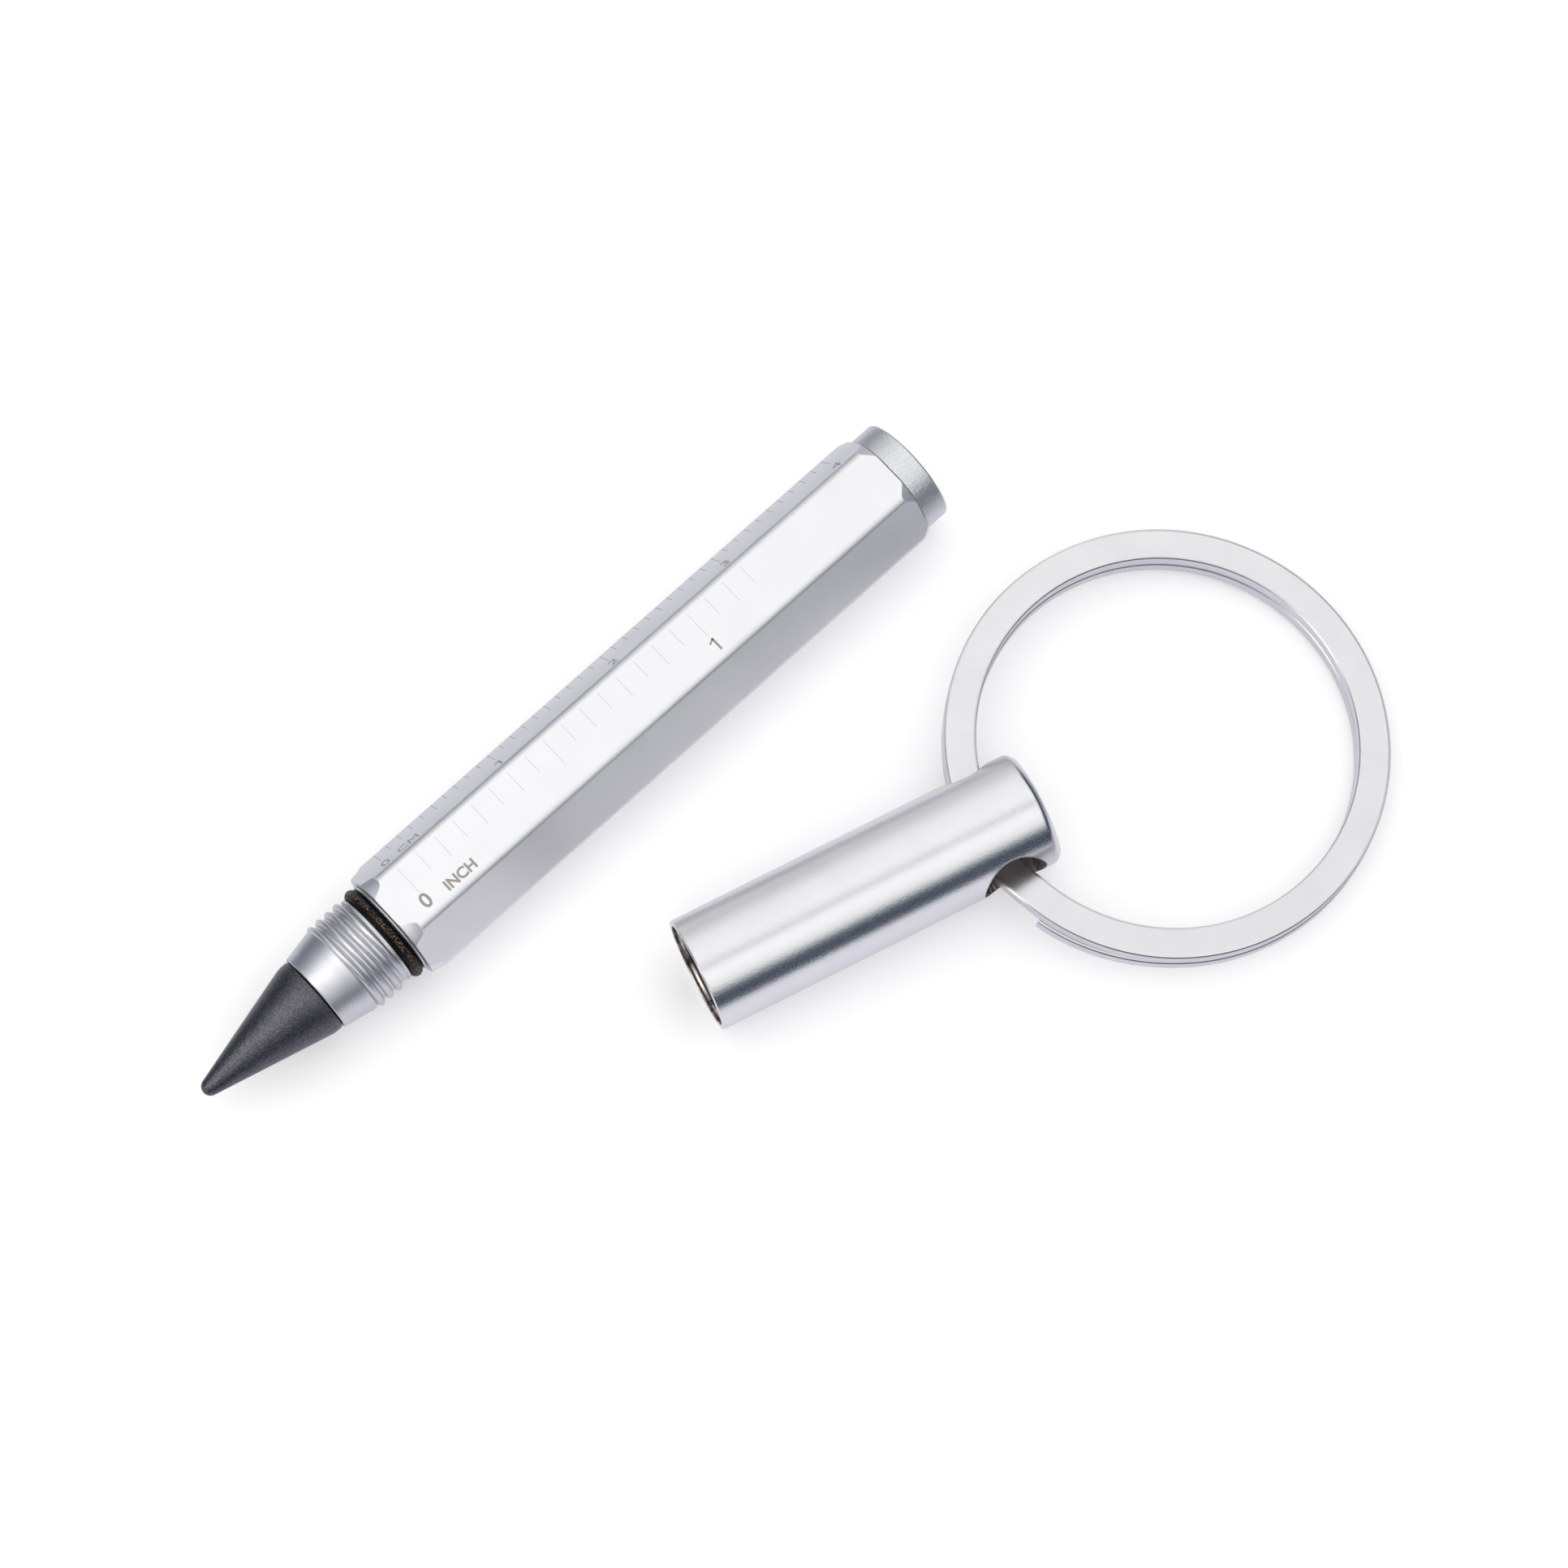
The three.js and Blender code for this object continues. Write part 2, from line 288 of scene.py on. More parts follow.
def alongPiece(tree, degrees=0.0, stretch=(1, 1, 1)):
    # Object coordinates in millimetres, turned so that X runs along the piece
    place = addNode(tree, "TexCoord").outputs["Object"]
    turn = (0, 0, -math.radians(degrees))
    turned = addNode(tree, "Mapping", {}, {"Vector": place, "Rotation": turn})
    return addNode(tree, "Mapping", {}, {"Vector": turned, "Scale": [s / mm for s in stretch]})


# Finishes. Mix takes its share at input 0 and its two colours at inputs 6 and 7.

evenly = (0.3, 0.7)  # where most of a noise lies
plain = (1, 1, 1)


def patternedFinish(finish):
    # A surface whose colour, roughness and relief each follow its noise patterns
    material, tree, shader = newSurface(finish["name"])
    patterns = {}
    for label, (size, detail, fineness, stretch) in finish["patterns"].items():
        patterns[label] = addNode(tree, "TexNoise", {}, {
            "Vector": alongPiece(tree, finish["heading"], stretch), "Scale": 1 / size,
            "Detail": detail, "Roughness": fineness,
        })
    first, second, label, (begin, end) = finish["colours"]
    patches = addNode(
        tree, "MapRange", {}, {"Value": patterns[label], "From Min": begin, "From Max": end}
    )
    tint = addNode(
        tree, "Mix", {"data_type": "RGBA"}, {0: patches, 6: colour(first), 7: colour(second)}
    )
    low, high, label = finish["roughness"]
    rough = addNode(tree, "MapRange", {}, {
        "Value": patterns[label], "From Min": evenly[0], "From Max": evenly[1],
        "To Min": low, "To Max": high,
    })
    depth, *labels = finish["relief"]
    height = patterns[labels[0]]
    for label in labels[1:]:
        height = addNode(tree, "Math", {"operation": "ADD"}, {0: height, 1: patterns[label]})
    bump = addNode(tree, "Bump", {}, {"Height": height, "Distance": depth * mm})
    setInputs(tree, shader, {
        "Metallic": 1, "Base Color": tint.outputs[2], "Roughness": rough, "Normal": bump,
    })
    return material


# A pattern is its size in millimetres, its detail, its roughness and how it is stretched.
# Colours are the first, the second, the pattern between them, and where that begins and ends.
# Roughness is the lowest, the highest and their pattern; relief is a depth and its patterns.

# Drawn aluminium bar, blasted fine and clear anodised: near white, a soft even sheen
anodisedBar = {
    "name": "satin anodised bar",
    "heading": layout["pencilHeading"],
    "patterns": {
        "cloud": (4.0, 2, 0.5, plain),
        "streaks": (0.35, 3, 0.5, (0.12, 1, 1)),
        "grain": (0.09, 2, 0.5, plain),
    },
    "colours": ("#efeff0", "#ececed", "cloud", evenly),
    "roughness": (0.44, 0.5, "streaks"),
    "relief": (0.0015, "grain"),
}
# Aluminium turned on a lathe and anodised: fine rings across the axis, a cooler grey.
# Real tool marks are 0.03 mm apart; they are drawn 0.09 mm apart to be seen.
turnedFerrule = {
    "name": "turned aluminium",
    "heading": layout["pencilHeading"],
    "patterns": {
        "stainAndShade": (1.1, 3, 0.5, plain),
        "marks": (0.09, 3, 0.6, (1, 0.04, 0.04)),
        "grain": (0.1, 2, 0.5, plain),
    },
    "colours": ("#dadadd", "#cfcfd3", "stainAndShade", evenly),
    "roughness": (0.38, 0.46, "marks"),
    "relief": (0.003, "marks", "grain"),
}
# Aluminium blasted with glass beads: a matt, sparkling skin of tiny pits.
# Real pits are about 0.03 mm; they are drawn 0.09 mm wide to be seen.
blastedPlug = {
    "name": "bead blasted aluminium",
    "heading": layout["pencilHeading"],
    "patterns": {"pits": (0.09, 3, 0.7, plain), "dents": (0.2, 2, 0.5, plain)},
    "colours": ("#dfe0e2", "#c3c6cc", "pits", (0.5, 0.65)),
    "roughness": (0.33, 0.39, "dents"),
    "relief": (0.02, "pits", "dents"),
}
# Turned aluminium tube, blasted and satin anodised: long soft reflections, broken by a
# fine grain. The real grain is about 0.05 mm; it is drawn 0.12 mm wide to be seen.
satinCap = {
    "name": "satin anodised cap",
    "heading": 0,
    "patterns": {"cloud": (3.0, 2, 0.5, plain), "grain": (0.12, 3, 0.65, plain)},
    "colours": ("#e3e3e5", "#dfdfe1", "cloud", evenly),
    "roughness": (0.21, 0.28, "grain"),
    "relief": (0.008, "grain"),
}
# Pressed graphite: soft dark grey, with flakes that glitter where light grazes them.
# Real flakes are about 0.02 mm; they are drawn 0.13 mm wide to be seen.
pressedGraphite = {
    "name": "pressed graphite",
    "heading": layout["pencilHeading"],
    "patterns": {"flakes": (0.13, 3, 0.75, plain), "cloud": (1.2, 3, 0.5, plain)},
    "colours": ("#505055", "#6e6e73", "flakes", (0.44, 0.66)),
    "roughness": (0.26, 0.34, "cloud"),
    "relief": (0.04, "flakes"),
}
# Flat steel wire, tumbled and nickel plated: pale, satin, with faint rubbing marks
nickelRing = {
    "name": "nickel plated wire",
    "heading": 0,
    "patterns": {"cloud": (2.5, 3, 0.5, plain), "grain": (0.12, 3, 0.6, plain)},
    "colours": ("#dddddf", "#d8d8da", "cloud", evenly),
    "roughness": (0.3, 0.36, "grain"),
    "relief": (0.003, "grain"),
}
# The turned pin inside the tip: fine bright rings, seen only when the pencil is taken apart
machinedStem = {
    "name": "machined pin",
    "heading": layout["pencilHeading"],
    "patterns": {"marks": (0.08, 2, 0.5, (1, 0.05, 0.05))},
    "colours": ("#b9bdc4", "#a4a8b0", "marks", evenly),
    "roughness": (0.28, 0.4, "marks"),
    "relief": (0.002, "marks"),
}

# The bore's colours are painted shade: a dark brown, and a lighter brown for its patches
machinedBore = {
    "colours": ("#3a302a", "#d2c8c1"),
    "roughness": 0.26,
    "stainAndShade": 0.9,
    "shadeSteps": (0.34, 0.56),
    "ridge": 0.35,
    "ridgeDepth": 0.06,
}


def machinedBoreFinish():
    # Drilled and threaded inside. Its colour is painted shade: a dark brown, lighter in patches.
    # Fine tool ridges run round the bore.
    material, tree, shader = newSurface("machined bore")
    body = alongPiece(tree)
    stainAndShade = addNode(tree, "TexNoise", {}, {
        "Vector": body, "Scale": 1 / machinedBore["stainAndShade"], "Detail": 4, "Roughness": 0.65,
    })
    begin, end = machinedBore["shadeSteps"]
    patches = addNode(tree, "MapRange", {}, {"Value": stainAndShade, "From Min": begin, "From Max": end})
    # The dark and the lighter brown are painted shade in the bore
    paintedShade, lighterShade = machinedBore["colours"]
    tint = addNode(
        tree, "Mix", {"data_type": "RGBA"}, {0: patches, 6: colour(paintedShade), 7: colour(lighterShade)}
    )
    # A wave of scale 1 repeats every 0.314
    ridges = addNode(tree, "TexWave", {"bands_direction": "X"}, {
        "Vector": body, "Scale": 0.314 / machinedBore["ridge"], "Distortion": 0.5, "Detail": 1,
    })
    bump = addNode(tree, "Bump", {}, {
        "Height": ridges.outputs["Fac"], "Distance": machinedBore["ridgeDepth"] * mm,
    })
    setInputs(tree, shader, {
        "Metallic": 0.8, "Base Color": tint.outputs[2], "Normal": bump,
        "Roughness": machinedBore["roughness"],
    })
    return material


nitrileSeal = {
    "colours": ("#040304", "#8f7266"),
    "roughness": 0.42,
    "gloss": 0.12,
    "speck": 0.11,
    "speckSteps": (0.5, 0.66),
    "relief": 0.02,
    "crest": (3.55, 3.61),
}


def nitrileSealFinish():
    # Black nitrile rubber with brown dust and scuffs on its crest, as on a used seal
    material, tree, shader = newSurface("nitrile rubber")
    body = alongPiece(tree, layout["pencilHeading"])
    specks = addNode(tree, "TexNoise", {}, {
        "Vector": body, "Scale": 1 / nitrileSeal["speck"], "Detail": 3, "Roughness": 0.75,
    })
    # The distance from the pencil's axis is greatest on the crest
    across = addNode(tree, "Mapping", {}, {
        "Vector": body, "Scale": (0, 1, 1), "Location": (0, 0, -layout["acrossFlats"] / 2),
    })
    fromAxis = addNode(tree, "VectorMath", {"operation": "LENGTH"}, {0: across}).outputs["Value"]
    low, high = nitrileSeal["crest"]
    crest = addNode(tree, "MapRange", {}, {"Value": fromAxis, "From Min": low, "From Max": high})
    begin, end = nitrileSeal["speckSteps"]
    marks = addNode(tree, "MapRange", {}, {"Value": specks, "From Min": begin, "From Max": end})
    dust = addNode(tree, "Math", {"operation": "MULTIPLY"}, {0: crest, 1: marks})
    black, brown = nitrileSeal["colours"]
    tint = addNode(
        tree, "Mix", {"data_type": "RGBA"}, {0: dust, 6: colour(black), 7: colour(brown)}
    )
    bump = addNode(
        tree, "Bump", {}, {"Height": specks, "Distance": nitrileSeal["relief"] * mm}
    )
    setInputs(tree, shader, {
        "Base Color": tint.outputs[2], "Normal": bump, "IOR": 1.52,
        "Roughness": nitrileSeal["roughness"], "Specular IOR Level": nitrileSeal["gloss"],
    })
    return material


laserMarks = {
    "strong": ("#a0988f", "#948c84"),
    "fine": ("#cccac8", "#c3c0bd"),
    # The side flat's marks are the same laser mark, painted darker and cooler as shade
    "side": ("#96929a", "#8a868e"),
    "roughness": 0.55,
    "grain": 0.07,
    "relief": 0.002,
}


def laserMarkFinish(name, tone):
    # Anodising burnt off by a laser: a matt, warm grey with a fine uneven grain. The side tone is
    # the same mark, painted a darker, cooler grey as shade.
    material, tree, shader = newSurface(name)
    grain = addNode(tree, "TexNoise", {}, {
        "Vector": alongPiece(tree), "Scale": 1 / laserMarks["grain"], "Detail": 2,
    })
    begin, end = evenly
    patches = addNode(tree, "MapRange", {}, {"Value": grain, "From Min": begin, "From Max": end})
    light, dark = laserMarks[tone]
    tint = addNode(
        tree, "Mix", {"data_type": "RGBA"}, {0: patches, 6: colour(light), 7: colour(dark)}
    )
    bump = addNode(tree, "Bump", {}, {"Height": grain, "Distance": laserMarks["relief"] * mm})
    setInputs(tree, shader, {
        "Base Color": tint.outputs[2], "Roughness": laserMarks["roughness"], "Normal": bump,
    })
    return material


# The hexagonal barrel

barrelSize = {
    "sawnLength": 46,  # the blank below cuts it to length
    "edgeReach": 0.38,
    "edgeSteps": 12,
    # The turned leads, as distances from the bar's end and from its axis
    "rearLead": [(0.02, 4.05), (0.72, 4.34), (1.35, 4.6)],
    "frontLead": [
        (0.02, 4.03), (0.45, 4.1), (0.75, 4.16), (0.93, 4.24), (1.02, 4.34), (1.08, 4.6)
    ],
    "boreRadius": 2.8,
    "endEdge": 0.05,
    "leadSteps": 240,
}


def makeBarrel(finish):
    flats, length = layout["acrossFlats"], layout["barrelLength"]
    deselectAll()
    bpy.ops.mesh.primitive_cylinder_add(
        vertices=6,
        radius=flats / math.sqrt(3) * mm,
        depth=barrelSize["sawnLength"] * mm,
        location=(length / 2 * mm, 0, 0),
        rotation=(0, math.pi / 2, 0),
    )
    bar = bpy.context.object
    bar.name = bar.data.name = "hexBarrel"
    bpy.ops.object.transform_apply(location=True, rotation=True, scale=True)
    # Laid down like this, the bar has a flat on top; its six long edges are rounded
    selectEdges(bar, lambda a, b: abs(a.x - b.x) > length / 2)
    bpy.ops.mesh.bevel(
        offset=barrelSize["edgeReach"] * mm,
        segments=barrelSize["edgeSteps"],
        affect="EDGES",
    )
    bpy.ops.object.mode_set(mode="OBJECT")
    # Turned leads and the bore come from one turned blank
    front, rear = barrelSize["frontLead"], barrelSize["rearLead"]
    edge, bore = barrelSize["endEdge"], barrelSize["boreRadius"]
    rearProfile = [(length - x, radius) for x, radius in reversed(rear)]
    blank = turnOnLathe(
        "blank",
        [(0, bore), (0, front[0][1] - edge)] + front + rearProfile
        + [(length, rear[0][1] - edge), (length, bore)],
        barrelSize["leadSteps"],
        closed=True,
    )
    cutWith(bar, blank, "INTERSECT")
    mendCut(bar)
    smooth(bar, degrees=14)
    return settle(bar, pencilPlace, "pencil", finish, "hex_barrel")


# The threaded ferrule

ferruleSize = {
    "seam": 0.05,
    "flangeRadius": 3.5,
    "flangeLength": 0.16,
    "grooveRadius": 2.7,
    "grooveLength": 0.98,
    "neckRadius": 3.34,
    "neckLength": 0.3,
    "rootRadius": 3.2,
    "noseLength": 6.64,
    "noseTaper": 2.4,
    "noseFrontRadius": 2.9,
    "noseRearRadius": 3.36,
    "spigotRadius": 2.74,
    "spigotLength": 6,
    "stemBore": 1.31,
    "boreDepth": 5.4,
    "softEdge": 0.05,
    "steps": 180,
}
threadSize = {
    "start": 4.93,
    "turns": 4.6,
    "pitch": 0.75,
    "depth": 0.32,
    "halfWidth": 0.35,
    "sink": 0.12,
    # Over which turns from either end the ridge rises to its full depth
    "fadeIn": (-0.22, 1.1),
    "fadeOut": (-0.35 / 3, 0.35),
    "crestRoundness": 0.8,
    "sectionSteps": 12,
    "stepsPerTurn": 110,
}


def threadRidge(name, foot, height, turns, startX):
    # A rounded ridge on the foot radius; it fades in and out so that its ends vanish
    half, sink = threadSize["halfWidth"], threadSize["sink"] * math.copysign(1, height)
    section = [(-half, foot - sink)]
    for i in range(1, threadSize["sectionSteps"]):
        across = 2 * i / threadSize["sectionSteps"] - 1
        rise = math.cos(across * math.pi / 2) ** threadSize["crestRoundness"]
        section.append((across * half, foot - sink + (height + sink) * rise))
    section.append((half, foot - sink))
    ridge, steps = wind(name, section, turns, threadSize["pitch"], threadSize["stepsPerTurn"])
    for index, vertex in enumerate(ridge.data.vertices):
        turn = turns * (index // len(section)) / steps
        fade = min(
            smoothStep(turn, *threadSize["fadeIn"]),
            smoothStep(turns - turn, *threadSize["fadeOut"]),
        )
        radius = math.hypot(vertex.co.y, vertex.co.z) / mm
        wanted = (foot - sink) + (radius - (foot - sink)) * fade
        vertex.co.y *= wanted / radius
        vertex.co.z *= wanted / radius
    closeEnds(ridge)
    smooth(ridge, degrees=60)
    putAt(ridge, moveTo(startX, 0, 0))
    return ridge


def makeFerrule(finish):
    size = ferruleSize
    edge = size["softEdge"]
    flangeFront = -size["seam"] - size["flangeLength"]
    grooveFront = flangeFront - size["grooveLength"]
    neckFront = grooveFront - size["neckLength"]
    noseFront = -size["noseLength"]
    noseRear = noseFront + size["noseTaper"]
    body = turnOnLathe(
        "frontFerrule",
        [
            (noseFront + size["boreDepth"], 0),
            (noseFront + size["boreDepth"], size["stemBore"]),
            (noseFront, size["stemBore"]),
            (noseFront, size["noseFrontRadius"] - edge),
            (noseFront + edge, size["noseFrontRadius"]),
            (noseRear - edge, size["noseRearRadius"] - edge / 6),
            (noseRear, size["noseRearRadius"] - edge / 2),
            (noseRear + 2 * edge, size["rootRadius"]),
            (neckFront, size["rootRadius"]),
            (neckFront + edge, size["neckRadius"]),
            (grooveFront - edge, size["neckRadius"]),
            (grooveFront, size["neckRadius"] - edge),
            (grooveFront, size["grooveRadius"]),
            (flangeFront, size["grooveRadius"]),
            (flangeFront, size["flangeRadius"] - edge),
            (flangeFront + edge, size["flangeRadius"]),
            (-size["seam"] - edge, size["flangeRadius"]),
            (-size["seam"], size["flangeRadius"] - edge),
            (-size["seam"], size["spigotRadius"]),
            (size["spigotLength"], size["spigotRadius"]),
            (size["spigotLength"], 0),
        ],
        size["steps"],
    )
    smooth(body, degrees=24)
    ridge = threadRidge(
        "thread", size["rootRadius"], threadSize["depth"], threadSize["turns"],
        -threadSize["start"],
    )
    ferrule = joined(body, ridge)
    return settle(ferrule, pencilPlace, "pencil", finish, "front_ferrule")


# The seal in the ferrule's groove

sealSize = {
    "section": 0.44,
    "sectionSteps": 32,
    "steps": 180,
    "ringRadius": 3.18,
    "place": -0.7,
    "flash": 1.006,
    "flashDepth": 0.002,
}


def makeSeal(finish):
    deselectAll()
    bpy.ops.mesh.primitive_torus_add(
        major_segments=sealSize["steps"],
        minor_segments=sealSize["sectionSteps"],
        major_radius=sealSize["ringRadius"] * mm,
        minor_radius=sealSize["section"] * mm,
        location=(sealSize["place"] * mm, 0, 0),
        rotation=(0, math.pi / 2, 0),
    )
    seal = bpy.context.object
    seal.name = seal.data.name = "sealRing"
    bpy.ops.object.transform_apply(location=True, rotation=True, scale=True)
    # The moulding's parting line stands a hair proud round the outside
    outer = sealSize["ringRadius"] + sealSize["section"] - sealSize["flashDepth"]
    selectEdges(seal, lambda a, b: min(math.hypot(a.y, a.z), math.hypot(b.y, b.z)) > outer)
    flash = sealSize["flash"]
    bpy.ops.transform.resize(
        value=(1, flash, flash), center_override=(sealSize["place"] * mm, 0, 0)
    )
    bpy.ops.object.mode_set(mode="OBJECT")
    bpy.ops.object.shade_smooth()
    return settle(seal, pencilPlace, "pencil", finish, "seal_ring")


# The graphite tip

tipSize = {
    "rear": -6.74,
    "rearEdge": 0.05,
    "point": -16.32,
    "pointRadius": 0.62,
    "baseRadius": 2.78,
    "shoulderRadius": 2.2,
    "land": 0.35,
    "stemBore": 1.31,
    "boreDepth": 4.6,
    "coneRings": 24,
    "steps": 160,
}


def makeTip(finish):
    size = tipSize
    ball = size["point"] + size["pointRadius"]
    shoulderX = size["rear"] - size["land"]
    shoulderY = size["baseRadius"] - size["shoulderRadius"]
    reach = math.hypot(shoulderX - ball, shoulderY)
    lean = math.degrees(
        math.atan2(shoulderY, shoulderX - ball)
        + math.asin((size["shoulderRadius"] - size["pointRadius"]) / reach)
    )
    nose = arc((ball, 0), size["pointRadius"], 180, 90 + lean, count=14)
    shoulder = arc((shoulderX, shoulderY), size["shoulderRadius"], 90 + lean, 90, count=10)
    nose[0] = (size["point"], 0)
    cone = []
    (fromX, fromY), (toX, toY) = nose[-1], shoulder[0]
    for i in range(1, size["coneRings"]):
        share = i / size["coneRings"]
        cone.append((fromX + (toX - fromX) * share, fromY + (toY - fromY) * share))
    tip = turnOnLathe(
        "writingTip",
        nose + cone + shoulder + [
            (size["rear"] - size["rearEdge"], size["baseRadius"]),
            (size["rear"], size["baseRadius"] - size["rearEdge"]),
            (size["rear"], size["stemBore"]),
            (size["rear"] - size["boreDepth"], size["stemBore"]),
            (size["rear"] - size["boreDepth"], 0),
        ],
        size["steps"],
    )
    smooth(tip, degrees=40)
    return settle(tip, pencilPlace, "pencil", finish, "writing_tip")


# The plug at the barrel's rear

plugSize = {
    "radius": 3.85,
    "length": 1.88,
    "round": 0.17,
    "seam": 0.06,
    "edge": 0.06,
    "spigotRadius": 2.74,
    "spigotLength": 4,
    "sideStep": 0.2,
    "dish": 0.004,
    "rings": 6,
    "steps": 160,
}


def makePlug(finish):
    size = plugSize
    faceX, faceRadius = size["length"], size["radius"] - size["round"]
    rim = arc((faceX - size["round"], faceRadius), size["round"], 90, 0, count=10)
    # The end face is dished by a hair, as a turned face is
    rings = range(1, size["rings"] + 1)
    face = [(faceX - size["dish"] * i, faceRadius * (1 - i / size["rings"])) for i in rings]
    edgeX = size["seam"] + size["edge"]
    side = [(edgeX + size["sideStep"] * i, size["radius"]) for i in rings]
    plug = turnOnLathe(
        "rearPlug",
        [
            (-size["spigotLength"], 0),
            (-size["spigotLength"], size["spigotRadius"]),
            (size["seam"], size["spigotRadius"]),
            (size["seam"], size["radius"] - size["edge"]),
            (edgeX, size["radius"]),
        ]
        + side + rim + face,
        size["steps"],
    )
    smooth(plug, degrees=35)
    place = pencilPlace @ moveTo(layout["barrelLength"], 0, 0)
    return settle(plug, place, "pencil", finish, "rear_plug")


# The screw cap

capSize = {
    "radius": layout["capRadius"],
    "length": 25,
    "boreRadius": 3.6,
    "threadedDepth": 7.9,
    "tipBoreRadius": 3.05,
    "tipBoreDepth": 17.32,
    "mouthEdge": 0.07,
    "endRound": 0.5,
    "endReach": 0.6,
    # The chamfer's last corners, as distances from the end and from the side
    "endChamfer": [(0.05, 0.342), (0, 0.42)],
    "endRing": 2.37,
    # Rings along the tube stand closer by the hole, so that it is shaded evenly there
    "tubeRings": range(2, 20, 2),
    "closeRings": 25,
    "closeStep": 0.25,
    "holeRadius": 2.3,
    "holeSteps": 128,
    "holeFromEnd": 3.5,
    "holeRoll": 3.4,
    "rimBead": 0.05,
    "rimSink": 0.034,
    "rimCorners": 12,
    "rimSteps": 120,
    "innerTurns": 5.5,
    "innerStart": 1.85,
    # Faces further than this from the side and from the end belong to the bore
    "sideSkin": 0.3,
    "endSkin": 0.7,
    "hair": 0.02,
    "steps": 180,
}


def makeHoleRim(side):
    # The hole's broken edge: a fine bead sunk in the corner, which follows the tube's curve
    size = capSize
    sink, corners = size["rimSink"], size["rimCorners"]
    lastCorner = 360 - 360 / corners
    section = arc((0, size["holeRadius"] + sink), size["rimBead"], 0, lastCorner, corners - 1)
    rim = wind("holeRim", section, 1, 0, size["rimSteps"])[0]
    for vertex in rim.data.vertices:
        around = vertex.co.z / mm
        vertex.co.x += (math.sqrt(size["radius"] ** 2 - around**2) - sink) * mm
    pick(rim)
    bpy.ops.object.mode_set(mode="EDIT")
    mendShell()
    bpy.ops.object.mode_set(mode="OBJECT")
    bpy.ops.object.shade_smooth()
    roll = math.radians(size["holeRoll"])
    outward = Vector((0, -math.cos(roll), math.sin(roll))) * side
    along = Vector((1, 0, 0))
    turn = Matrix((outward, along, outward.cross(along))).transposed().to_4x4()
    putAt(rim, moveTo(size["length"] - size["holeFromEnd"], 0, 0) @ turn)
    return rim


def makeCap(finish, boreFinish):
    size = capSize
    radius, length = size["radius"], size["length"]
    holeX = length - size["holeFromEnd"]
    # The closed end is rounded into a chamfer
    middle = (length - size["endReach"], radius - size["endRound"])
    end = arc(middle, size["endRound"], 90, 45, count=8)
    end += [(length - back, radius - down) for back, down in size["endChamfer"]]
    tube = [(x, radius) for x in size["tubeRings"]]
    for i in range(1, size["closeRings"] + 1):
        tube.append((size["tubeRings"][-1] + size["closeStep"] * i, radius))
    mouth = [(0, size["boreRadius"]), (0, radius - size["mouthEdge"]), (size["mouthEdge"], radius)]
    outer = mouth + tube + end + [(length, size["endRing"]), (length, 0)]
    inner = [
        (size["tipBoreDepth"], 0),
        (size["tipBoreDepth"], size["tipBoreRadius"]),
        (size["threadedDepth"], size["tipBoreRadius"]),
        (size["threadedDepth"], size["boreRadius"]),
    ]
    cap = turnOnLathe("screwCap", inner + outer, size["steps"])
    deselectAll()
    bpy.ops.mesh.primitive_cylinder_add(
        vertices=size["holeSteps"],
        radius=size["holeRadius"] * mm,
        depth=3 * radius * mm,
        location=(holeX * mm, 0, 0),
        rotation=(math.pi / 2 - math.radians(size["holeRoll"]), 0, 0),
    )
    cutWith(cap, bpy.context.object)
    smooth(cap, degrees=30)
    ridge = threadRidge(
        "innerThread", size["boreRadius"], -threadSize["depth"], size["innerTurns"],
        size["innerStart"],
    )
    cap.data.materials.append(finish)
    cap.data.materials.append(boreFinish)
    ridge.data.materials.append(boreFinish)
    # Inside faces take the bore's finish, whose colour is painted shade
    hair, sideSkin = size["hair"], size["sideSkin"]
    for face in cap.data.polygons:
        middle = face.center / mm
        around = math.hypot(middle.y, middle.z)
        inBore = around < radius - sideSkin and hair < middle.x < length - size["endSkin"]
        inHole = around < radius - hair and abs(middle.x - holeX) < size["holeRadius"] + hair
        face.material_index = 1 if inBore or inHole else 0
    rims = [makeHoleRim(1), makeHoleRim(-1)]
    for rim in rims:
        rim.data.materials.append(finish)
    joined(cap, ridge, *rims)
    return settle(cap, capPlace, "cap", None, "screw_cap")


# The split ring

ringSize = {
    "outerRadius": 14.9,
    "wireWidth": 2.15,
    "wireThickness": 1.11,
    "pitch": 1.14,
    "wireEdge": 0.2,
    "edgeSteps": 3,
    "lowerShift": 0.07,
    "startAngle": 207,
    "endAngle": 896,
    "jogStart": 543,
    "jogEnd": 564,
    "endFlare": 0.18,
    "flareAngle": 40,
    "stepsPerTurn": 180,
}


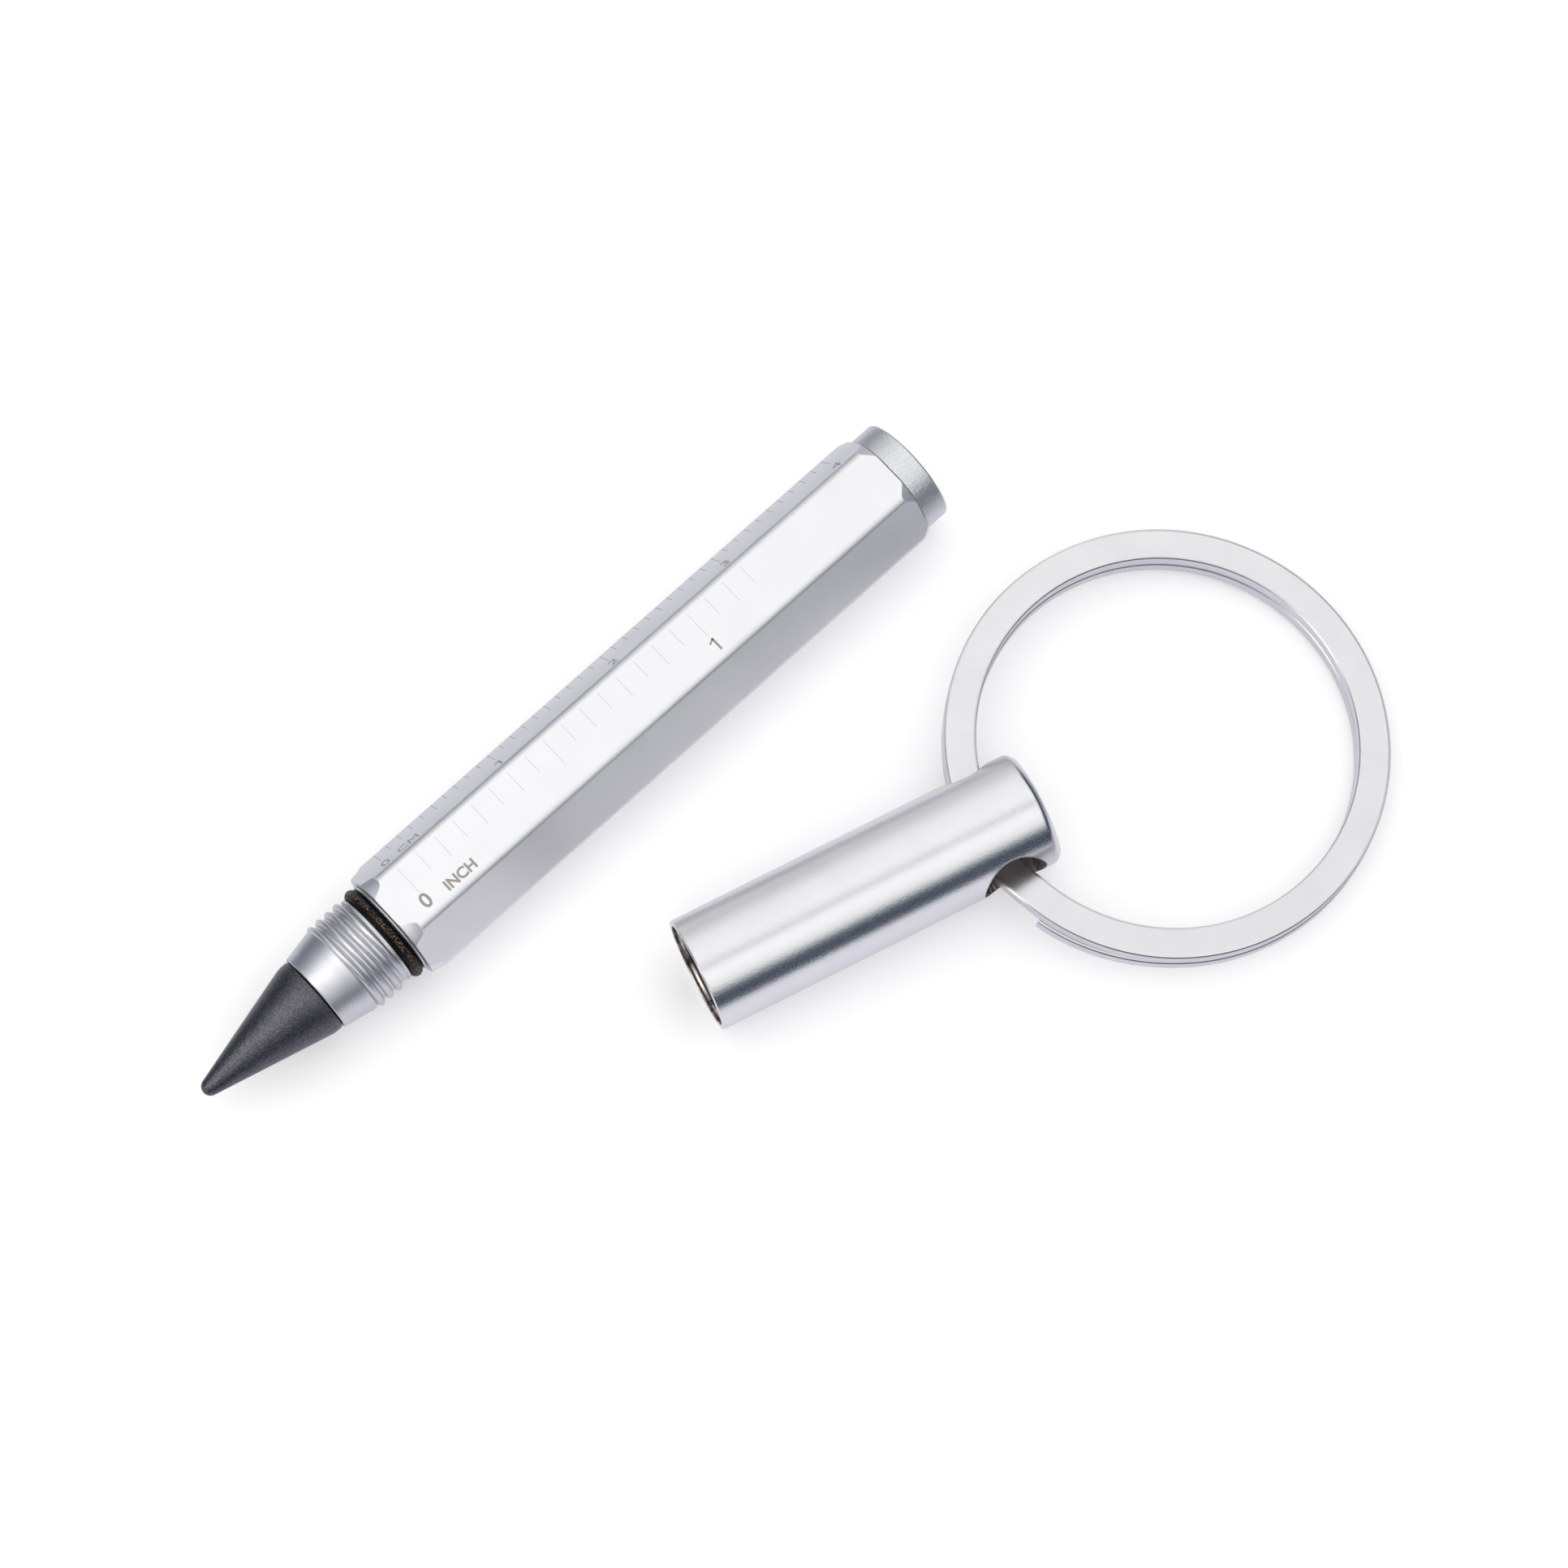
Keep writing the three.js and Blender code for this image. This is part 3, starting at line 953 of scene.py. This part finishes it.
def makeRing(finish):
    size = ringSize
    middle = size["outerRadius"] - size["wireWidth"] / 2
    halfWidth, halfThick, edge = size["wireWidth"] / 2, size["wireThickness"] / 2, size["wireEdge"]
    section = []
    for start, signX, signY in ((0, 1, 1), (90, -1, 1), (180, -1, -1), (270, 1, -1)):
        centre = (signX * (halfThick - edge), middle + signY * (halfWidth - edge))
        section += arc(centre, edge, start, start + 90, size["edgeSteps"])
    turns = (size["endAngle"] - size["startAngle"]) / 360
    ring, steps = wind("splitRing", section, turns, 0, size["stepsPerTurn"])
    place = ringPlace @ turnAbout("X", size["startAngle"] - 90)
    forward = place.to_3x3().inverted() @ Vector((0, -1, 0))
    for index, vertex in enumerate(ring.data.vertices):
        angle = size["startAngle"] + 360 * turns * (index // len(section)) / steps
        lift = smoothStep(angle, size["jogStart"], size["jogEnd"]) - 0.5
        vertex.co.x += size["pitch"] * lift * mm
        flare = 1 - smoothStep(angle, size["startAngle"], size["startAngle"] + size["flareAngle"])
        outward = vertex.co.copy()
        outward.x = 0
        vertex.co += outward.normalized() * size["endFlare"] * flare * mm
        # The lower coil sits a hair nearer to the front than the upper one
        vertex.co += forward * size["lowerShift"] * (0.5 - lift) * mm
    closeEnds(ring)
    smooth(ring, degrees=10)
    return settle(ring, place, "ring", finish, "split_ring")


# The engraved rules: sixteenths of an inch on the top flat, millimetres on the side flat

ruleSize = {
    "proud": 0.02,
    "inchStart": 2.444,
    "inchStep": 25.4 / 16,
    "inchTicks": 20,
    "inchEdge": 1.72,
    "inchLengths": (2.15, 1.72, 1.46),
    "cmStart": 2.241,
    "cmTicks": 41,
    "cmEdge": 1.78,
    "cmLengths": (1.9, 1.5, 1.2),
    "tickWidth": 0.06,
    "bolder": 0.03,
    "sideBolder": 0,  # the font's M fills badly when it is made bolder
    "tickEnds": 0.6,
    # The figure one's parts, as shares of its height
    "oneStem": 0.16,
    "oneFlag": (0.44, 0.13),
    "flagLean": 28,
    "numeralHeight": 1.0,
    "capitalShare": 0.69,  # a capital's height as a share of the built-in font's size
    "curveSteps": 8,
    "inchNumeralY": -1.13,
    "zeroShift": -0.06,
    "oneShift": 0.07,
    "inchWord": (2.74, -1.35, 0.72),
    "cmNumeralY": -1.15,
    "cmWord": (1.95, -1.15, 0.85),
}


def onFlat(turn):
    # X runs to the rear, Y across the flat, and Z out of it
    return pencilPlace @ turnAbout("X", turn) @ moveTo(0, 0, layout["acrossFlats"] / 2)


def makeTicks(name, places, edge, finish, flat):
    # One tick of each length is modelled, and copied along the rule
    width, proud = ruleSize["tickWidth"], ruleSize["proud"]
    copies = []
    for length in sorted({length for x, length in places}):
        deselectAll()
        bpy.ops.mesh.primitive_cube_add(size=1)
        tick = bpy.context.object
        bpy.ops.object.mode_set(mode="EDIT")
        bpy.ops.transform.resize(value=(width * mm, length * mm, proud * mm))
        bpy.ops.transform.translate(value=(0, (edge - length / 2) * mm, 0))
        bpy.ops.object.mode_set(mode="OBJECT")
        # The cut ends are narrowed, as a laser line's are
        selectFaces(tick, lambda face: abs(face.normal.y) > 0.9)
        ends = ruleSize["tickEnds"]
        bpy.ops.transform.resize(value=(ends, 1, ends), center_override=(0, 0, 0))
        bpy.ops.object.mode_set(mode="OBJECT")
        for x in [x for x, itsLength in places if itsLength == length]:
            pick(tick)
            bpy.ops.object.duplicate(linked=False)
            bpy.context.object.location.x = x * mm
            bpy.ops.object.transform_apply(location=True, rotation=False, scale=False)
            copies.append(bpy.context.object)
        bpy.data.objects.remove(tick)
    marks = joined(*copies)
    marks.name = marks.data.name = name
    return settle(marks, flat, "pencil", finish)


def makeWord(name, text, height, x, y, bolder, finish, flat):
    # Written a thousand times too large, as small letters fill badly
    deselectAll()
    bpy.ops.object.text_add()
    word = bpy.context.object
    word.data.body = text
    word.data.size = height / ruleSize["capitalShare"]
    word.data.align_x = "CENTER"
    word.data.align_y = "CENTER"
    word.data.extrude = ruleSize["proud"] / 2
    word.data.offset = bolder
    word.data.resolution_u = ruleSize["curveSteps"]
    bpy.ops.object.convert(target="MESH")
    word = bpy.context.object
    word.name = word.data.name = name
    putAt(word, moveTo(x, y, 0) @ Matrix.Scale(mm, 4))
    return settle(word, flat, "pencil", finish)


def makeOne(name, height, x, y, finish, flat):
    # The built-in font's figure one is a bare bar, so this one is made with its flag
    length, thick = (share * height for share in ruleSize["oneFlag"])
    lean = math.radians(ruleSize["flagLean"])
    top = y + height / 2
    bars = []
    for across, along, turn, place in (
        (ruleSize["oneStem"] * height, height, 0, (x, y)),
        (
            length, thick, lean,
            (x - length / 2 * math.cos(lean), top - thick / 2 - length / 2 * math.sin(lean)),
        ),
    ):
        deselectAll()
        bpy.ops.mesh.primitive_cube_add(
            size=mm, location=(place[0] * mm, place[1] * mm, 0), rotation=(0, 0, turn),
            scale=(across, along, ruleSize["proud"]),
        )
        bpy.ops.object.transform_apply(location=True, rotation=True, scale=True)
        bars.append(bpy.context.object)
    one = joined(*bars)
    one.name = one.data.name = name
    return settle(one, flat, "pencil", finish)


def makeRules(strongFinish, paleFinish, shadedSideFinish):
    size = ruleSize
    top, side = onFlat(0), onFlat(-60)
    # The longest ticks stand at half inches, the next at eighths
    longTick, midTick, shortTick = size["inchLengths"]
    inchPlaces = []
    for i in range(size["inchTicks"]):
        length = longTick if i % 8 == 0 else midTick if i % 2 == 0 else shortTick
        inchPlaces.append((size["inchStart"] + i * size["inchStep"], length))
    makeTicks("inchTicks", inchPlaces, size["inchEdge"], paleFinish, top)
    # The longest ticks stand at centimetres, the next at their halves
    longTick, midTick, shortTick = size["cmLengths"]
    cmPlaces = []
    for i in range(size["cmTicks"]):
        length = longTick if i % 10 == 0 else midTick if i % 5 == 0 else shortTick
        cmPlaces.append((size["cmStart"] + i, length))
    # The side flat's ticks, figures and word take the laser mark painted darker as shade
    makeTicks("cmTicks", cmPlaces, size["cmEdge"], shadedSideFinish, side)
    height, bolder = size["numeralHeight"], size["bolder"]
    x, y = size["inchStart"], size["inchNumeralY"]
    makeWord("inchNumeral0", "0", height, x + size["zeroShift"], y, bolder, strongFinish, top)
    oneX = x + 16 * size["inchStep"] + size["oneShift"]
    makeOne("inchNumeral1", height, oneX, y, strongFinish, top)
    wordX, wordY, wordHeight = size["inchWord"]
    makeWord("inchWord", "INCH", wordHeight, x + wordX, wordY, bolder, strongFinish, top)
    bolder, y = size["sideBolder"], size["cmNumeralY"]
    for number in range(5):
        x = size["cmStart"] + number * 10
        name = f"cmNumeral{number}"
        if number == 1:
            makeOne(name, height, x, y, shadedSideFinish, side)
        else:
            makeWord(name, str(number), height, x, y, bolder, shadedSideFinish, side)
    wordX, wordY, wordHeight = size["cmWord"]
    x = size["cmStart"] + wordX
    makeWord("cmWord", "CM", wordHeight, x, wordY, bolder, shadedSideFinish, side)


# The table, the light and the camera

studio = {
    "tableSize": 4.0,
    "tableColour": "#f9f9f9",
    "tableLift": 0.2,
    "tableDrop": 0.04,
    "mirroredColour": "#e8e6ef",
    "mirroredLift": 0.13,
    "mirroredDrop": 0.02,
    "mirroredDepth": (-90, 17),
    "mirroredWidth": (-848, 52),
    "worldStrength": 0.87,
    "lampPlace": (0.02, 0.04, 0.55),
    "lampSize": 0.7,
    "lampPower": 0.62,
}
# The light tent's brightness by height above the horizon, in degrees
tent = {
    "radius": 0.5,
    "strength": 3.6,
    # Which level directions each card fills: full at the first value, none at the second
    "meeting": {"backLeft": (-0.37, 0.17), "front": (0.6, 0.95), "left": (-0.36, -0.26)},
    "front": [
        (-90, 0.5), (-4, 0.07), (23, 0.06), (29, 0.17), (34, 0.7), (39, 1.06), (45, 1.15),
        (52, 1.2), (60, 1.26), (69, 1.26), (76, 1.16), (90, 1.08),
    ],
    "backRight": [
        (-90, 0.5), (-45, 0.4), (-26, 0.14), (-5, 0.14), (1, 0.7), (11, 0.82), (20, 0.9),
        (28, 1.0), (36, 1.1), (43, 1.14), (60, 1.13), (77, 1.13), (90, 1.08),
    ],
    "backLeft": [
        (-90, 0.5), (-45, 0.4), (-10, 0.11), (5, 0.13), (15, 0.2), (25, 0.34), (33, 0.46),
        (42, 0.64), (50, 0.84), (60, 1.04), (77, 1.13), (90, 1.08),
    ],
    # The far left, by angle from the back horizon over the top to the front one
    "left": [
        (-90, 0.1), (-64, 0.12), (-48, 0.2), (-37, 0.5), (-27, 0.95), (-17, 2.0), (-8, 3.2),
        (-1, 3.6), (5, 3.2), (11, 2.4), (20, 1.5), (30, 0.95), (39, 0.5), (49, 0.25), (59, 0.12),
        (70, 0.08), (90, 0.1),
    ],
    # How much red is lost and blue is gained in the dark gaps between the cards
    "cool": (0.38, 0.6),
    "strip": (2.5, 10.5),
    "stripShade": 0.45,
    "stripSoft": 0.02,
}
camera = {
    "target": (6.299, -8.242, 0.0),
    "azimuth": -117.16,
    "elevation": 75.35,
    "distance": 334.06,
    "lens": 115.04,
    "sensor": 36,
    "clip": (0.01, 20),
}


def seenDirectly(tree):
    # 1 for the camera, for glossy and for clear surfaces; 0 for the light that falls on things
    path = addNode(tree, "LightPath")
    metal = addNode(
        tree, "Math", {"operation": "MAXIMUM"},
        {0: path.outputs["Is Camera Ray"], 1: path.outputs["Is Glossy Ray"]},
    )
    return addNode(
        tree, "Math", {"operation": "MAXIMUM"}, {0: metal, 1: path.outputs["Is Transmission Ray"]}
    )


def tableFinish(name, hexCode, lift):
    # Matt white acrylic; the lift keeps it white in the picture
    material, tree, shader = newSurface(name)
    glow = addNode(tree, "Math", {"operation": "MULTIPLY"}, {0: seenDirectly(tree), 1: lift})
    setInputs(tree, shader, {
        "Base Color": colour(hexCode), "Roughness": 0.9, "IOR": 1.3,
        "Emission Color": (1, 1, 1, 1), "Emission Strength": glow,
    })
    return material


def makeTable():
    deselectAll()
    drop = studio["tableDrop"] * mm
    bpy.ops.mesh.primitive_plane_add(size=studio["tableSize"], location=(0, 0, -drop))
    table = bpy.context.object
    table.name = "table"
    table.data.materials.append(
        tableFinish("white table", studio["tableColour"], studio["tableLift"])
    )
    table.visible_glossy = False
    # What polished metal sees of the table: it ends close behind the pencil and to its right
    deselectAll()
    bpy.ops.mesh.primitive_plane_add(size=1)
    seen = bpy.context.object
    seen.name = "tableInMetal"
    front, behind = (d * mm for d in studio["mirroredDepth"])
    left, right = (d * mm for d in studio["mirroredWidth"])
    bpy.ops.object.mode_set(mode="EDIT")
    bpy.ops.transform.resize(value=(right - left, behind - front, 1))
    drop = studio["mirroredDrop"] * mm
    bpy.ops.transform.translate(value=((left + right) / 2, (front + behind) / 2, -drop))
    # It lies square to the pencil; the turn goes the other way without a window
    bpy.ops.transform.rotate(
        value=-math.radians(layout["pencilHeading"]), orient_axis="Z", center_override=(0, 0, 0)
    )
    bpy.ops.object.mode_set(mode="OBJECT")
    seen.data.materials.append(
        tableFinish("white table in metal", studio["mirroredColour"], studio["mirroredLift"])
    )
    for way in ("camera", "diffuse", "shadow", "transmission"):
        setattr(seen, "visible_" + way, False)


def makeWorld():
    world = bpy.data.worlds.new("studio")
    world.use_nodes = True
    bpy.context.scene.world = world
    tree = world.node_tree
    strength = addNode(
        tree, "MapRange", {},
        {"Value": seenDirectly(tree), "To Min": studio["worldStrength"], "To Max": 1},
    )
    setInputs(tree, tree.nodes["Background"], {"Color": (1, 1, 1, 1), "Strength": strength})


def makeTent():
    # Large white cards that only polished metal sees, with dark gaps low between them
    deselectAll()
    bpy.ops.mesh.primitive_uv_sphere_add(segments=64, ring_count=48, radius=tent["radius"])
    dome = bpy.context.object
    dome.name = "lightTent"
    material = bpy.data.materials.new("light tent")
    material.use_nodes = True
    tree = material.node_tree
    tree.nodes.remove(tree.nodes["Principled BSDF"])
    place = addNode(tree, "TexCoord").outputs["Object"]
    direction = addNode(tree, "VectorMath", {"operation": "NORMALIZE"}, {0: place})
    parts = addNode(tree, "SeparateXYZ", {}, {0: direction})
    x, y, z = (parts.outputs[name] for name in "XYZ")
    quarter = math.pi / 2
    # Height above the horizon, and the angle from the back horizon over the top
    height = addNode(tree, "Math", {"operation": "ARCSINE"}, {0: z})
    toFrontSide = addNode(tree, "Math", {"operation": "MULTIPLY"}, {0: y, 1: -1})
    lean = addNode(tree, "Math", {"operation": "ARCTAN2"}, {0: toFrontSide, 1: z})
    lessRed, moreBlue = tent["cool"]
    cards = {}
    for name, angle in (
        ("front", height), ("backRight", height), ("backLeft", height), ("left", lean)
    ):
        share = addNode(
            tree, "MapRange", {}, {"Value": angle, "From Min": -quarter, "From Max": quarter}
        )
        card = addNode(tree, "ValToRGB", {}, {"Fac": share})
        points = card.color_ramp.elements
        while len(points) < len(tent[name]):
            points.new(0.5)
        for point, (degrees, level) in zip(points, tent[name]):
            point.position = (degrees + 90) / 180
            cool = max(1 - level, 0) ** 3
            shade = (level * (1 - lessRed * cool), level, level * (1 + moreBlue * cool))
            point.color = [c / tent["strength"] for c in shade] + [1]
        cards[name] = card
    # Level directions say which card is seen; the far left is measured along the pencil
    level = addNode(tree, "Math", {"operation": "COSINE"}, {0: height})
    fromRight = addNode(tree, "Math", {"operation": "DIVIDE"}, {0: x, 1: level})
    fromBack = addNode(tree, "Math", {"operation": "DIVIDE"}, {0: y, 1: level})
    heading = math.radians(layout["pencilHeading"])
    alongPencil = addNode(
        tree, "VectorMath", {"operation": "DOT_PRODUCT"},
        {0: direction, 1: (math.cos(heading), math.sin(heading), 0)},
    ).outputs["Value"]
    shade = cards["backRight"]
    for name, value in (("backLeft", fromRight), ("front", fromBack), ("left", alongPencil)):
        begin, end = tent["meeting"][name]
        share = addNode(
            tree, "MapRange", {},
            {"Value": value, "From Min": begin, "From Max": end, "To Min": 1, "To Max": 0},
        )
        shade = addNode(
            tree, "Mix", {"data_type": "RGBA"}, {0: share, 6: shade, 7: cards[name]}
        ).outputs[2]
    # A thin gap between two cards overhead
    low, high = (math.radians(d) for d in tent["strip"])
    fromGap = addNode(tree, "Math", {"operation": "SUBTRACT"}, {0: lean, 1: (low + high) / 2})
    away = addNode(tree, "Math", {"operation": "ABSOLUTE"}, {0: fromGap})
    half, soft = (high - low) / 2, tent["stripSoft"]
    gap = addNode(tree, "MapRange", {}, {
        "Value": away, "From Min": half - soft, "From Max": half + soft,
        "To Min": 1 - tent["stripShade"], "To Max": 1,
    })
    strength = addNode(tree, "Math", {"operation": "MULTIPLY"}, {0: gap, 1: tent["strength"]})
    glow = addNode(tree, "Emission", {}, {"Color": shade, "Strength": strength})
    setInputs(tree, tree.nodes["Material Output"], {"Surface": glow})
    dome.data.materials.append(material)
    for way in ("camera", "diffuse", "shadow"):
        setattr(dome, "visible_" + way, False)


def makeLamp():
    deselectAll()
    bpy.ops.object.light_add(type="AREA", location=studio["lampPlace"])
    lamp = bpy.context.object
    lamp.data.size = studio["lampSize"]
    lamp.data.energy = studio["lampPower"]
    lamp.visible_glossy = False
    lamp.visible_camera = False


def makeCamera():
    target = Vector(camera["target"]) * mm
    azimuth, elevation = math.radians(camera["azimuth"]), math.radians(camera["elevation"])
    back = Vector((
        math.cos(elevation) * math.cos(azimuth),
        math.cos(elevation) * math.sin(azimuth),
        math.sin(elevation),
    ))
    bpy.ops.object.camera_add(location=target + back * camera["distance"] * mm)
    eye = bpy.context.object
    eye.rotation_euler = (-back).to_track_quat("-Z", "Y").to_euler()
    eye.data.lens = camera["lens"]
    eye.data.sensor_width = camera["sensor"]
    eye.data.clip_start, eye.data.clip_end = camera["clip"]
    bpy.context.scene.camera = eye


bpy.context.scene.view_settings.view_transform = "Standard"
makeCamera()
makeTable()
makeWorld()
makeTent()
makeLamp()
print("stage, light and camera are set")

makeBarrel(patternedFinish(anodisedBar))
print("barrel made")
makeFerrule(patternedFinish(turnedFerrule))
makeSeal(nitrileSealFinish())
print("ferrule and seal made")
makeTip(patternedFinish(pressedGraphite))
makePlug(patternedFinish(blastedPlug))
print("tip and plug made")
makeCap(patternedFinish(satinCap), machinedBoreFinish())
print("cap made")
makeRing(patternedFinish(nickelRing))
print("split ring wound")
makeRules(
    laserMarkFinish("laser mark", "strong"),
    laserMarkFinish("fine laser mark", "fine"),
    laserMarkFinish("shaded laser mark on the side", "side"),
)
print("rules engraved")
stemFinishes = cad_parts["tip_stem"].data.materials
stemFinishes.clear()
stemFinishes.append(patternedFinish(machinedStem))
print("stem finished")
